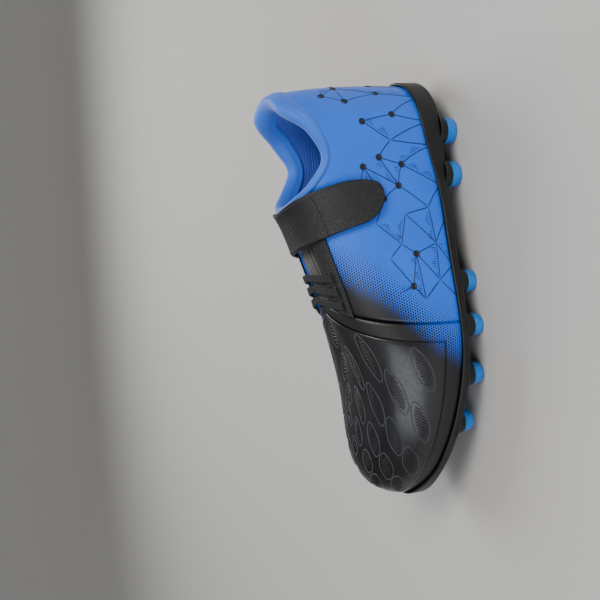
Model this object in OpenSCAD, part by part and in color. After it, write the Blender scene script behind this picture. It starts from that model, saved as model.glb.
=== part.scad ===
// Left-foot firm-ground football boot in a child's size: a moulded plate with twelve
// studs, a layered synthetic upper, a padded collar and a hook-and-loop instep strap.
// Toe towards -Y, outer (lateral) side towards +X, the ends of the rear ten studs on z = 0.

/* [Overall] */
// Length from the back of the plate to the front of the plate
shoe_length = 212; // [170:1:260]
// Width of the upper over the ball of the foot
ball_width = 76; // [62:1:94]
// Width of the upper at the waist, under the arch
waist_width = 64; // [50:1:78]
// Width of the upper at the heel
heel_width = 56; // [45:1:70]
// Rise of the plate at the toe
toe_spring = 10; // [0:0.5:14]

/* [Heights above the plate] */
// Top of the collar at the back of the heel, above the plate
heel_height = 70; // [55:1:86]
// Lowest point of the collar, beside the ankle, above the plate
ankle_height = 54; // [42:1:66]
// Top of the instep at the front of the opening, above the plate
instep_height = 68; // [56:1:82]
// Top of the toe box, above the plate
toe_height = 37; // [30:1:46]

/* [Plate and studs] */
// Thickness of the plate
plate_t = 3; // [2.5:0.5:6]
// Height of the studs below the plate
stud_height = 11; // [8:0.5:14]
// How far the plate stands out past the upper
plate_lip = 1.6; // [0.8:0.1:3]
// How far the cup of the plate climbs the heel
heel_cup = 8; // [5:0.5:18]
// Diameter of a forefoot stud at its end
fore_tip_d = 10; // [8:0.5:13]
// Diameter of a heel stud at its end
heel_tip_d = 12; // [9:0.5:15]
// Height of the blue end of a forefoot stud
fore_tip_h = 5; // [4:0.5:7]
// Height of the blue end of a heel stud
heel_tip_h = 5.5; // [4:0.5:7.5]
// Diameter of the peg that each stud end is moulded over
tip_peg_d = 5; // [3:0.5:6.5]
// Gap round the peg
peg_gap = 0.1; // [0.05:0.05:0.3]
// Distance from the edge of the upper to the middle of a stud
stud_inset = 8; // [6:0.5:12]

/* [Layers of the upper] */
// Thickness of the textile lining
lining_t = 0.8; // [0.5:0.1:1.5]
// Depth of the space for foam and stiffeners between the lining and the outer
core_t = 2.4; // [1.5:0.1:4]
// Thickness of the synthetic outer
outer_t = 1.2; // [0.8:0.1:2]
// Extra thickness of the collar padding
collar_pad = 2.6; // [0:0.2:5]
// Thickness of the overlays on the eyestays and the toe
overlay_t = 1; // [0.6:0.1:1.6]
// Diameter of the rolled collar binding
binding_d = 6.4; // [4:0.2:8]
// Gap between one layer and the next
layer_gap = 0.2; // [0.1:0.05:0.4]
// Thickness of the insole board
board_t = 1.6; // [1:0.1:3]
// Thickness of the sockliner
sockliner_t = 4; // [2.5:0.5:6]

/* [Strap and lace] */
// Thickness of the strap
strap_t = 1.4; // [1:0.1:2.5]
// Thickness of each half of the hook-and-loop closure
closure_t = 0.8; // [0.5:0.1:1.5]
// Gap between the strap's parts and the shoe
strap_gap = 0.4; // [0.3:0.05:0.8]
// Thickness of the flat elastic lace
lace_t = 1.2; // [0.8:0.1:2]

/* [Hidden] */
fore_stations = [0.84, 0.715, 0.59, 0.48];
heel_stations = [0.215, 0.105];
STUDS = concat(
    [for (side = [1, -1], i = [0 : 3]) ["fore", side, fore_stations[i], i + 1]],
    [for (side = [1, -1], i = [0 : 1]) ["heel", side, heel_stations[i], i + 1]]);
function tip_name(s) = str(s[0] == "fore" ? "forefoot" : "heel",
    s[1] > 0 ? "_lateral" : "_medial", "_stud_end_", s[3]);

plate_bottom = stud_height;
plate_top = plate_bottom + plate_t;
wall = lining_t + core_t + 2 * layer_gap + outer_t;
outer_in = lining_t + core_t + 2 * layer_gap;
last_length = shoe_length - 2 * (wall + plate_lip);
heel_end = last_length / 2;

// ---- the last: one surface that every layer is an offset of -------------------------
// Smooth curve through [station, value] knots
function slope(p, i) = let (a = max(i - 1, 0), b = min(i + 1, len(p) - 1))
    (p[b][1] - p[a][1]) / (p[b][0] - p[a][0]);
function curve(p, s, i = 0) = i < len(p) - 2 && s >= p[i + 1][0] ? curve(p, s, i + 1)
    : let (h = p[i + 1][0] - p[i][0], u = max(0, min(1, (s - p[i][0]) / h)),
           m0 = slope(p, i) * h, m1 = slope(p, i + 1) * h)
      p[i][1] * (2 * u ^ 3 - 3 * u ^ 2 + 1) + m0 * (u ^ 3 - 2 * u ^ 2 + u)
      + p[i + 1][1] * (3 * u ^ 2 - 2 * u ^ 3) + m1 * (u ^ 3 - u ^ 2);
function ease(u) = let (c = max(0, min(1, u))) c * c * (3 - 2 * c);

// Station (0 at the heel, 1 at the toe) and side of a ring angle; 0 is the heel, 90 lateral
function station(a) = (1 - cos(a)) / 2;
function side(a) = sin(a) >= 0 ? 1 : -1;

// Plan: middle line, half width, round heel and toe. The toe curves in towards the
// medial side, and centre_x brings the plate's own middle onto x = 0
heel_round = heel_width / 2 - wall;
toe_round = 56;
spring_start = 0.6;
function bend(s) = curve([[0, 0], [0.3, 0.6], [0.6, 1.6], [0.8, -3.5], [1, -10]], s);
function half_width(s) = curve([[0, heel_width / 2], [0.14, heel_width / 2],
    [0.4, waist_width / 2], [0.64, ball_width / 2], [0.82, ball_width * 0.465],
    [1, ball_width * 0.4]], s) - wall;
function heel_fade(s) = let (q = max(0, 1 - s * last_length / heel_round)) sqrt(1 - q * q);
function toe_fade(s) = let (q = max(0, 1 - (1 - s) * last_length / toe_round))
    (1 - q ^ 2.3) ^ (1 / 2.3);
function plan_x(a) = let (s = station(a))
    bend(s) + side(a) * half_width(s) * heel_fade(s) * toe_fade(s);
lateral_x = max([for (a = [60 : 2 : 150]) plan_x(a)]);
medial_x = min([for (a = [210 : 2 : 300]) plan_x(a)]);
centre_x = (lateral_x + medial_x) / 2;
function middle(s) = bend(s) - centre_x;
function edge(a) = [plan_x(a) - centre_x, heel_end - station(a) * last_length];
function edge_normal(a) = let (t = edge(a + 0.5) - edge(a - 0.5)) [-t[1], t[0]] / norm(t);
function edge_out(a, d) = edge(a) + d * edge_normal(a);

// Height of the plate's top, of the ridge line over the foot and of the collar
function rise(s) = plate_top + toe_spring * max(0, (s - spring_start) / (1 - spring_start)) ^ 2;
ridge_heel = 0.1;
ridge_toe = 0.8;
throat = 0.28;
function ridge_station(s) = ridge_heel + (ridge_toe - ridge_heel) * s;
function ridge_height(r) = rise(r) + curve([[0, instep_height + 36], [0.14, instep_height + 31],
    [0.21, instep_height + 15], [throat, instep_height], [0.4, instep_height - 10],
    [0.52, (instep_height + toe_height) / 2 - 3], [0.66, toe_height + 3], [0.8, toe_height - 1],
    [1, toe_height - 4]], r);
function squareness(s) = curve([[0, 3.2], [0.18, 2.8], [0.3, 2.25], [0.5, 2.1], [0.75, 2.3],
    [1, 2.5]], s);
throat_station = (throat - ridge_heel) / (ridge_toe - ridge_heel);
throat_angle = acos(1 - 2 * throat_station);
function collar_height(s) = curve([[0, heel_height], [0.03, heel_height - 0.5],
    [0.085, ankle_height + 6], [0.16, ankle_height], [0.22, ankle_height + 6],
    [throat_station, instep_height]], s);

// The back of the heel bulges at bulge_z and leans in above and below it
heel_lean = 4;
bulge_z = 20;
function lean(s, z) = heel_lean * (1 - ease(s / 0.14)) * ((z - bulge_z) / 50) ^ 2;
// Point of the last at ring angle a and girth k (0 at the plate, 1 on the ridge),
// moved d outwards
function last(a, k, d) = let (s = station(a), r = ridge_station(s), n = squareness(s),
        c = cos(90 * k) ^ (2 / n), h = sin(90 * k) ^ (2 / n), f = edge_out(a, d),
        mid = [middle(r) - 1, heel_end - r * last_length],
        z = (ridge_height(r) - rise(s)) * h)
    [mid[0] + (f[0] - mid[0]) * c, mid[1] + (f[1] - mid[1]) * c - lean(s, z),
     rise(s) + z + d * h];
// Girth of the collar edge, and of a given height, at ring angle a
function girth_at(a, z) = let (s = station(a), top = ridge_height(ridge_station(s)) - rise(s))
    asin(min(1, z / top) ^ (squareness(s) / 2)) / 90;
function collar_girth(a) = let (s = station(a))
    s >= throat_station ? 1 : girth_at(a, collar_height(s));
function off_heel(a) = abs(a > 180 ? a - 360 : a);
// Girth at which the layers stop under the rolled binding. Moving out from the last also
// lifts a point of the collar by rim_slope
binding_clear = 1.3;
binding_lead = 6;
rim_slope = 1.15;
under_collar = function(a)
    let (edge_height = collar_height(station(max(0, off_heel(a) - binding_lead))))
    girth_at(a, edge_height - binding_d / 2 - binding_clear
        - (wall + padding(a, 1)) / 2 * rim_slope);
// Collar padding: swells towards the collar edge and fades out before the strap
function padding(a, k) = collar_pad * ease(1 - (collar_girth(a) - k) / 0.34)
    * (1 - ease((off_heel(a) - 30) / 20));

// ---- solids from grids of points ------------------------------------------------------
// Closed solid between an outer and an inner grid; a zipped grid's last row lies on the
// ridge, where the two sides of the toe meet, and takes no wall
module skin(outer, inner, zipped = false, ring = false) {
    rows = len(outer);
    cols = len(outer[0]);
    last_col = ring ? cols : cols - 1;
    base = rows * cols;
    function at(i, j) = i * cols + j % cols;
    function quad(p, q, r, s) = [[p, q, r], [p, r, s]];
    faces = concat(
        [for (i = [0 : rows - 2], j = [0 : last_col - 1])
            each quad(at(i, j), at(i, j + 1), at(i + 1, j + 1), at(i + 1, j))],
        [for (i = [0 : rows - 2], j = [0 : last_col - 1])
            each quad(base + at(i + 1, j), base + at(i + 1, j + 1), base + at(i, j + 1),
                      base + at(i, j))],
        [for (j = [0 : last_col - 1]) each quad(base + at(0, j), base + at(0, j + 1),
            at(0, j + 1), at(0, j))],
        zipped ? [] : [for (j = [0 : last_col - 1]) each quad(at(rows - 1, j),
            at(rows - 1, j + 1), base + at(rows - 1, j + 1), base + at(rows - 1, j))],
        ring ? [] : [for (i = [0 : rows - 2]) each quad(at(i, 0), at(i + 1, 0),
            base + at(i + 1, 0), base + at(i, 0))],
        ring ? [] : [for (i = [0 : rows - 2]) each quad(base + at(i, cols - 1),
            base + at(i + 1, cols - 1), at(i + 1, cols - 1), at(i, cols - 1))]);
    polyhedron([each each outer, each each inner], faces);
}
// Ring angles in even steps, and in steps that close up towards the throat, where the
// collar edge turns sharply
function even(a0, a1, n) = [for (j = [0 : n]) a0 + (a1 - a0) * j / n];
function closing(u0, u1, n, reach) = [for (u = even(u0, u1, n)) reach * sin(90 * u)];
// Panel over ring angles, from girth low(a) to high(a), between offsets in and out
module panel(angles, nk, low, high, in, out, zipped = false) {
    function girth(a, i) = low(a) + (high(a) - low(a)) * i / nk;
    function grid(d) = [for (i = [0 : nk]) [for (a = angles)
        let (k = girth(a, i)) last(a, k, d(a, k))]];
    skin(grid(out), grid(in), zipped);
}
// Saddle over the instep: v runs from 1 at the lateral plate, over the ridge at 0, to -1
function over(a, v, d) = v >= 0 ? last(a, 1 - v, d) : last(360 - a, 1 + v, d);
module saddle(v0, v1, nv, na, front, back, in, out) {
    function at(i, j, d) = let (v = v0 + (v1 - v0) * i / nv) over(back(v)
        + (front(v) - back(v)) * j / na, v, d);
    skin([for (i = [0 : nv]) [for (j = [0 : na]) at(i, na - j, out)]],
         [for (i = [0 : nv]) [for (j = [0 : na]) at(i, na - j, in)]]);
}
// Closed solid from ring rows, whose first and last rows lie on the middle line of the sole
ring_steps = 56;
ring_angles = [for (j = [0 : ring_steps - 1]) 360 * j / ring_steps];
module sole_layer(rows) {
    function at(i, j) = i * ring_steps + j % ring_steps;
    polyhedron([each each rows], [for (i = [0 : len(rows) - 2], j = [0 : ring_steps - 1])
        each [[at(i, j), at(i, j + 1), at(i + 1, j + 1)], [at(i, j), at(i + 1, j + 1), at(i + 1, j)]]]);
}
function sole_middle(z) = [for (a = ring_angles) let (r = ridge_station(station(a)))
    [middle(r), heel_end - r * last_length, rise(r) + z]];
function sole_edge(d, z) = [for (a = ring_angles) let (e = edge_out(a, d))
    [e[0], e[1], rise(station(a)) + z]];
// Tube of radius rad round a closed row of [point, side vector, up vector]
module ring_tube(frames, sides) {
    n = len(frames);
    function at(i, j) = (i % n) * sides + j % sides;
    polyhedron([for (f = frames, j = [0 : sides - 1])
        f[0] + f[1] * cos(360 * j / sides) + f[2] * sin(360 * j / sides)],
        [for (i = [0 : n - 1], j = [0 : sides - 1])
        each [[at(i, j), at(i, j + 1), at(i + 1, j + 1)], [at(i, j), at(i + 1, j + 1), at(i + 1, j)]]]);
}

// ---- sole -------------------------------------------------------------------------------
cup_round = 1.2;
board_inset = -1;
stem_embed = 1.5;
stem_flare = 3.4;
cup_base = 1.2;
function cup_height(a) = cup_base + (heel_cup - cup_base) * (1 - ease((off_heel(a) - 30) / 42))
    + 4 * ease((off_heel(a) - 146) / 26);
function cup_edge(d, up) = [for (a = ring_angles) let (e = edge_out(a, d))
    [e[0], e[1], rise(station(a)) + cup_height(a) + up]];
// Middle of a stud, on the line that runs stud_inset inside the edge of the upper
function stud_angle(s) = s[1] > 0 ? acos(1 - 2 * s[2]) : 360 - acos(1 - 2 * s[2]);
function stud_at(s) = edge_out(stud_angle(s), wall - stud_inset);
function end_d(s) = s[0] == "fore" ? fore_tip_d : heel_tip_d;
function end_h(s) = s[0] == "fore" ? fore_tip_h : heel_tip_h;
end_taper = 1.2;
peg_h = 3.5;
// Studs keep their height and rise with the plate towards the toe
function stud_place(s) = [each stud_at(s), rise(s[2]) - plate_top];
stem_top = plate_bottom + stem_embed;

module outsole_plate() color("#17181c") {
    out = wall + plate_lip;
    sole_layer([sole_middle(-plate_t), sole_edge(out - cup_round, -plate_t),
        sole_edge(out, -plate_t + cup_round), cup_edge(out, -cup_round / 2),
        cup_edge(out - cup_round / 2, 0), cup_edge(wall + layer_gap, 0),
        sole_edge(wall + layer_gap, 0), sole_edge(board_inset, 0), sole_middle(0)]);
    for (s = STUDS) translate(stud_place(s)) {
        translate([0, 0, end_h(s)]) cylinder(h = stem_top - end_h(s),
            d1 = end_d(s) + end_taper, d2 = end_d(s) + end_taper + stem_flare, $fn = 48);
        translate([0, 0, end_h(s) - peg_h]) cylinder(h = peg_h + 1, d = tip_peg_d, $fn = 48);
    }
}
module stud_end(s) color("#2f9be6") translate(stud_place(s)) difference() {
    cylinder(h = end_h(s), d1 = end_d(s), d2 = end_d(s) + end_taper, $fn = 48);
    translate([0, 0, end_h(s) - peg_h - peg_gap])
        cylinder(h = peg_h + 1, d = tip_peg_d + 2 * peg_gap, $fn = 48);
}
board_base = layer_gap;
module insole_board() color("#d8d6cf")
    sole_layer([sole_middle(board_base), sole_edge(board_inset, board_base),
        sole_edge(board_inset, board_base + board_t), sole_middle(board_base + board_t)]);
// Footbed with a raised rim that cups the heel
footbed_rim = 2.5;
rim_lift = 4;
module sockliner() {
    base = board_base + board_t + layer_gap;
    function lift(a) = rim_lift * (1 - ease((off_heel(a) - 40) / 60));
    function rim_row(d) = [for (a = ring_angles) let (e = edge_out(a, d))
        [e[0], e[1], rise(station(a)) + base + sockliner_t + lift(a)]];
    color("#2b55b8") sole_layer([sole_middle(base), sole_edge(-2 * footbed_rim, base),
        sole_edge(board_inset - 0.6, base + 2), rim_row(board_inset - 0.6),
        rim_row(board_inset - footbed_rim),
        sole_edge(-4 * footbed_rim, base + sockliner_t), sole_middle(base + sockliner_t)]);
}

// ---- upper --------------------------------------------------------------------------------
zero = function(a) 0;
seam = 0.35;
front_seam = 99;
lining_seam = throat_angle + 4;
throat_v = 0.2;
foam_depth = 21;
core_in = lining_t + layer_gap;
core_out = core_in + core_t;
flat = function(d) function(a, k) d;
padded = function(d) function(a, k) d + padding(a, k);

module heel_counter() color("#c9ccd2") {
    stiff_t = 1.3;
    high = function(a) girth_at(a, collar_height(station(a)) - foam_depth - 1.5);
    panel(even(-64, 64, 22), 5, zero, high, flat(core_in), flat(core_in + stiff_t));
}
module toe_puff() color("#c9ccd2") {
    stiff_t = 1;
    panel(even(140, 220, 18), 5, zero, function(a) 0.5, flat(core_in), flat(core_in + stiff_t));
}
module vamp_lining() color("#2747a8")
    panel(even(lining_seam + seam, 360 - lining_seam - seam, 36), 7, zero, function(a) 1,
        flat(0), flat(lining_t), zipped = true);
module collar_lining() color("#3f5fbf")
    panel(closing(-1, 1, 40, lining_seam), 6, zero, under_collar, flat(0), flat(lining_t));
module collar_foam() color("#e8e4d4") {
    low = function(a) girth_at(a, collar_height(station(a)) - foam_depth);
    panel(even(-52, 52, 24), 4, low, under_collar, flat(core_in), padded(core_out));
}
// Top edge of a quarter: under the collar binding, then along the edge of the throat
quarter_top = function(a) min(under_collar(a), 1 - throat_v);
quarter_angles = concat(closing(seam / lining_seam, 1, 16, lining_seam),
    even(lining_seam + 3, front_seam, 8));
module quarter(angles) panel(angles, 8, zero, quarter_top, padded(outer_in), padded(wall));
module lateral_quarter() color("#3f8ae6") quarter(quarter_angles);
module medial_quarter() color("#3f8ae6")
    quarter([for (j = [len(quarter_angles) - 1 : -1 : 0]) 360 - quarter_angles[j]]);
module vamp() color("#20355c")
    panel(even(front_seam + seam, 360 - front_seam - seam, 34), 8, zero, function(a) 1,
        flat(outer_in), flat(wall), zipped = true);
module toe_overlay() color("#111216")
    panel(even(104, 256, 38), 8, function(a) 0.1, function(a) 1, flat(wall + layer_gap),
        flat(wall + layer_gap + overlay_t / 2), zipped = true);
// Stretch panel over the instep, sewn in under the quarters
panel_v = 0.4;
module instep_panel() color("#15161a")
    saddle(panel_v, -panel_v, 12, 8, function(v) front_seam + 4,
        function(v) throat_angle + 5 - 12 * abs(v), core_in, core_out);
stay_width = 0.15;
stay_in = wall + layer_gap;
stay_out = stay_in + overlay_t;
stay_back = 66;
module lateral_eyestay() color("#111216")
    saddle(throat_v + stay_width, throat_v + 0.01, 3, 12, function(v) front_seam + 1,
        function(v) stay_back, stay_in, stay_out);
module medial_eyestay() color("#111216")
    saddle(-throat_v - 0.01, -throat_v - stay_width, 3, 12, function(v) front_seam + 1,
        function(v) stay_back, stay_in, stay_out);
lace_angles = [89, 93.6, 98.2];
lace_half = 1.5;
lace_sweep = 6;
lace_reach = throat_v + stay_width * 0.7;
module elastic_lace() color("#0c0c0e") for (a = lace_angles)
    saddle(lace_reach, -lace_reach, 12, 1, function(v) a + lace_half - lace_sweep * abs(v),
        function(v) a - lace_half - lace_sweep * abs(v),
        stay_out + layer_gap, stay_out + layer_gap + lace_t);
binding_steps = 56;
binding_span = function(i) throat_angle * (2 * (i + 0.5) / binding_steps - 1);
module collar_binding() {
    deep = function(i) padding(off_heel(binding_span(i)), 1) / 2;
    centres = [for (i = [0 : binding_steps - 1]) let (a = binding_span(i))
        last(a, collar_girth(a), wall / 2 + deep(i))];
    opening_middle = [0, heel_end - ridge_station(0.14) * last_length];
    function frame(i) = let (c = centres[i], ahead = centres[(i + 1) % binding_steps],
            behind = centres[(i + binding_steps - 1) % binding_steps],
            along = (ahead - behind) / norm(ahead - behind), across = cross(along, [0, 0, 1]),
            away = [c[0] - opening_middle[0], c[1] - opening_middle[1], 0],
            out = across / norm(across) * (across * away > 0 ? 1 : -1))
        [c, out * (wall / 2 + 0.4 + deep(i)), cross(out, along) * binding_d / 2];
    color("#4c92f0") ring_tube([for (i = [0 : binding_steps - 1]) frame(i)], 10);
}

// ---- strap ----------------------------------------------------------------------------------
strap_back_angle = throat_angle + 2;
strap_end_v = 0.78;
tab_v = 0.42;
anchor_v = -0.42;
anchor_end_v = -0.62;
hinge_gap = 0.004;
loop_in = wall + layer_gap;
loop_out = loop_in + closure_t;
hook_in = loop_out + strap_gap;
hook_out = hook_in + closure_t;
strap_in = hook_out + layer_gap / 2;
strap_out = strap_in + strap_t;
// Edges of the strap: it leans back towards the heel and narrows to a rounded end
end_round_v = 0.16;
function strap_end(v) = v < strap_end_v - end_round_v ? 0
    : 1 - sqrt(max(0.03, 1 - ((v - strap_end_v + end_round_v) / end_round_v) ^ 2));
function strap_half(v) = (17 - 5.5 * max(0, v)) / 2 * (1 - strap_end(v));
function strap_mid(v) = strap_back_angle + 7.5 - 11.5 * max(0, v) - 3 * strap_end(v);
strap_front = function(v) strap_mid(v) + strap_half(v);
strap_back = function(v) strap_mid(v) - strap_half(v);
function inset(f, deg) = function(v) f(v) + deg;
module strap_anchor() color("#15161a")
    saddle(anchor_v - hinge_gap, anchor_end_v, 4, 6, strap_front, strap_back,
        loop_in, strap_out);
module strap() color("#15161a")
    saddle(tab_v - hinge_gap, anchor_v + hinge_gap, 16, 6, strap_front, strap_back,
        strap_in, strap_out);
module strap_tab() color("#15161a")
    saddle(strap_end_v, tab_v + hinge_gap, 9, 6, strap_front, strap_back, strap_in, strap_out);
module hook_pad() color("#0a0a0b")
    saddle(strap_end_v - 0.08, tab_v + 0.03, 5, 5, inset(strap_front, -2), inset(strap_back, 2),
        hook_in, hook_out);
module loop_pad() color("#0a0a0b")
    saddle(strap_end_v - 0.06, tab_v, 5, 5, inset(strap_front, -1), inset(strap_back, 1),
        loop_in, loop_out);

outsole_plate();
for (s = STUDS) stud_end(s);
insole_board();
sockliner();
heel_counter();
toe_puff();
vamp_lining();
collar_lining();
collar_foam();
lateral_quarter();
medial_quarter();
vamp();
toe_overlay();
instep_panel();
lateral_eyestay();
medial_eyestay();
elastic_lace();
collar_binding();
loop_pad();
strap_anchor();
strap();
strap_tab();
hook_pad();
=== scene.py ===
# A left-foot moulded-stud football boot in a child's size. Toe towards -Y, outer side towards +X.
import math

import bpy
import bmesh
import numpy as np
from mathutils import Matrix, Vector


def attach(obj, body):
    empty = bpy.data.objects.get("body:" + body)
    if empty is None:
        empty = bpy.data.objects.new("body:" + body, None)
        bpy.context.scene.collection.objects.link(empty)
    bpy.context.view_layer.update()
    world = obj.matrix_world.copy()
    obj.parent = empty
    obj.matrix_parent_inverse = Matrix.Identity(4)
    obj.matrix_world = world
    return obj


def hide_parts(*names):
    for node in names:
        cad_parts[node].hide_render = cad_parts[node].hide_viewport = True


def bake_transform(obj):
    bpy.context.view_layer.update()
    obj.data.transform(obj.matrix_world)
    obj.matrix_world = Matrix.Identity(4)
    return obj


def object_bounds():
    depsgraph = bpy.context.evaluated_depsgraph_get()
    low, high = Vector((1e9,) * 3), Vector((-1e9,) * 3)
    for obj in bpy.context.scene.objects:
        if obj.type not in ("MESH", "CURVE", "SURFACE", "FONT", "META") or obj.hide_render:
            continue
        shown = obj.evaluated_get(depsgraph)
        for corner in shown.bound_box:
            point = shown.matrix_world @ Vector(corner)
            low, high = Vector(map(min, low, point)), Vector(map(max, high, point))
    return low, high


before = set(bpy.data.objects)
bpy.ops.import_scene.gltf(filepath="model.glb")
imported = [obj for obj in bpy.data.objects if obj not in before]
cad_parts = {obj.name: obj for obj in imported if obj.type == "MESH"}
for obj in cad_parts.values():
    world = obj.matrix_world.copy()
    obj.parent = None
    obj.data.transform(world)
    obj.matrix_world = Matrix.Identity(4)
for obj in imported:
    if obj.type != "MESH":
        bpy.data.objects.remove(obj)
cad_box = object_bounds()
MM = 0.001


# --- Outsole plate ----------------------------------------------------------------------------
# One injection-moulded polyurethane plate with a cup round the heel, a lip round the upper and
# twelve stems that carry the studs. The upper is cemented down inside the lip.
def through(knots, s):
    """Smooth curve through [station, value] knots."""
    knots = np.array(knots, float)
    s = np.asarray(s, float)
    count = len(knots)
    i = np.clip(np.searchsorted(knots[:, 0], s, side="right") - 1, 0, count - 2)
    slopes = np.array([(knots[min(j + 1, count - 1), 1] - knots[max(j - 1, 0), 1])
                       / (knots[min(j + 1, count - 1), 0] - knots[max(j - 1, 0), 0])
                       for j in range(count)])
    span = knots[i + 1, 0] - knots[i, 0]
    u = np.clip((s - knots[i, 0]) / span, 0, 1)
    return (knots[i, 1] * (2 * u ** 3 - 3 * u ** 2 + 1) + slopes[i] * span * (u ** 3 - 2 * u ** 2 + u)
            + knots[i + 1, 1] * (3 * u ** 2 - 2 * u ** 3) + slopes[i + 1] * span * (u ** 3 - u ** 2))


def ease(u):
    """Smooth step from 0 to 1."""
    u = np.clip(u, 0, 1)
    return u * u * (3 - 2 * u)


# The last: ring angle 0 is the heel, 90 the outer side and 180 the toe. Sizes in millimetres
wall = 4.8
plate_lip = 1.6
last_length = 199.2
heel_end = last_length / 2
plate_top = 14.0
plate_thick = 3.0
ball_width, waist_width, heel_width = 76.0, 64.0, 56.0
instep_height, toe_height, ankle_height, heel_height = 68.0, 37.0, 54.0, 70.0
ridge_heel, ridge_toe, throat_ridge = 0.1, 0.8, 0.28
throat_station = (throat_ridge - ridge_heel) / (ridge_toe - ridge_heel)
throat = math.degrees(math.acos(1 - 2 * throat_station))
toe_round = 56.0


def station(angle):
    return (1 - np.cos(np.radians(angle))) / 2


def bend(s):
    return through([[0, 0], [0.3, 0.6], [0.6, 1.6], [0.8, -3.5], [1, -10]], s)


def plan_x(angle):
    s = station(angle)
    half = through([[0, heel_width / 2], [0.14, heel_width / 2], [0.4, waist_width / 2],
                    [0.64, ball_width / 2], [0.82, ball_width * 0.465], [1, ball_width * 0.4]], s) - wall
    heel_fade = np.sqrt(1 - np.maximum(0, 1 - s * last_length / (heel_width / 2 - wall)) ** 2)
    toe_fade = (1 - np.maximum(0, 1 - (1 - s) * last_length / toe_round) ** 2.3) ** (1 / 2.3)
    side = np.where(np.sin(np.radians(angle)) >= 0, 1, -1)
    return bend(s) + side * half * heel_fade * toe_fade


centre_x = (plan_x(np.arange(60, 151, 2.0)).max() + plan_x(np.arange(210, 301, 2.0)).min()) / 2


def edge(angle):
    return np.stack([plan_x(angle) - centre_x, heel_end - station(angle) * last_length], -1)


def edge_normal(angle):
    step = edge(angle + 0.5) - edge(angle - 0.5)
    normal = np.stack([-step[..., 1], step[..., 0]], -1)
    return normal / np.linalg.norm(normal, axis=-1, keepdims=True)


def rise(s):
    return plate_top + 10 * np.maximum(0, (s - 0.6) / 0.4) ** 2


def ridge_height(r):
    return rise(r) + through([[0, instep_height + 36], [0.14, instep_height + 31],
                              [0.21, instep_height + 15], [throat_ridge, instep_height],
                              [0.4, instep_height - 10],
                              [0.52, (instep_height + toe_height) / 2 - 3],
                              [0.66, toe_height + 3], [0.8, toe_height - 1],
                              [1, toe_height - 4]], r)


def squareness(s):
    return through([[0, 3.2], [0.18, 2.8], [0.3, 2.25], [0.5, 2.1], [0.75, 2.3], [1, 2.5]], s)


def last_point(angle, girth, offset):
    s = station(angle)
    r = ridge_heel + (ridge_toe - ridge_heel) * s
    power = 2 / squareness(s)
    level = np.maximum(0, np.cos(np.radians(90 * girth))) ** power
    upright = np.maximum(0, np.sin(np.radians(90 * girth))) ** power
    foot = edge(angle) + offset[..., None] * edge_normal(angle)
    ridge_x = bend(r) - centre_x - 1
    ridge_y = heel_end - r * last_length
    z = (ridge_height(r) - rise(s)) * upright
    lean = 4 * (1 - ease(s / 0.14)) * ((z - 20) / 50) ** 2
    return np.stack([ridge_x + (foot[..., 0] - ridge_x) * level,
                     ridge_y + (foot[..., 1] - ridge_y) * level - lean,
                     rise(s) + z + offset * upright], -1)


def boot(angle, girth, offset=0.0):
    """Points offset from the last. Girth runs from 0 at the plate to 1 on the ridge and on to 2."""
    angle, girth, offset = (np.asarray(v, float) for v in np.broadcast_arrays(angle, girth, offset))
    near = last_point(angle % 360, np.clip(girth, 0, 1), offset)
    far = last_point(-angle % 360, np.clip(2 - girth, 0, 1), offset)
    return np.where((girth > 1)[..., None], far, near)


def girth_at(angle, z):
    s = station(angle)
    top = ridge_height(ridge_heel + (ridge_toe - ridge_heel) * s) - rise(s)
    return np.degrees(np.arcsin(np.clip(z / top, 0, 1) ** (squareness(s) / 2))) / 90


def collar_girth(angle):
    """Girth of the collar edge behind the throat, and the ridge in front of it."""
    s = station(angle)
    height = through([[0, heel_height], [0.03, heel_height - 0.5], [0.085, ankle_height + 6],
                      [0.16, ankle_height], [0.22, ankle_height + 6],
                      [throat_station, instep_height]], s)
    return np.where(s >= throat_station, 1.0, girth_at(angle, height))


def off_heel(angle):
    angle = np.asarray(angle, float) % 360
    return np.minimum(angle, 360 - angle)


def padding(angle, girth):
    """Extra thickness of the padded collar."""
    return (2.6 * ease(1 - (collar_girth(angle) - girth) / 0.34)
            * (1 - ease((off_heel(angle) - 30) / 20)))


def join_mesh(name, points, faces, material, flow=None, fade=None):
    """A welded mesh object from points in millimetres, with flow (mm) as its UV map."""
    mesh = bpy.data.meshes.new(name)
    mesh.from_pydata((np.asarray(points) * MM).tolist(), [], faces)
    if flow is not None:
        corners = np.empty(len(mesh.loops), int)
        mesh.loops.foreach_get("vertex_index", corners)
        mesh.uv_layers.new(name="flow").data.foreach_set("uv", np.asarray(flow)[corners].ravel())
    if fade is not None:
        mesh.attributes.new("fade", "FLOAT", "POINT").data.foreach_set("value", fade)
    work = bmesh.new()
    work.from_mesh(mesh)
    bmesh.ops.remove_doubles(work, verts=work.verts, dist=1e-6)
    bmesh.ops.recalc_face_normals(work, faces=work.faces)
    work.to_mesh(mesh)
    work.free()
    mesh.materials.append(material)
    mesh.shade_smooth()
    piece = bpy.data.objects.new(name, mesh)
    bpy.context.collection.objects.link(piece)
    return piece


def grid_faces(rows, cols, start=0, ring=False, flip=False):
    """Quads of a grid of points, numbered row by row."""
    faces = []
    for i in range(rows - 1):
        for j in range(cols if ring else cols - 1):
            a, b = start + i * cols + j, start + i * cols + (j + 1) % cols
            quad = (a, b, b + cols, a + cols)
            faces.append(quad[::-1] if flip else quad)
    return faces


def srgb(code):
    """Linear RGBA of an sRGB hex colour."""
    channels = [int(code[i:i + 2], 16) / 255 for i in (0, 2, 4)]
    return [c / 12.92 if c <= 0.04045 else ((c + 0.055) / 1.055) ** 2.4 for c in channels] + [1.0]


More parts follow.
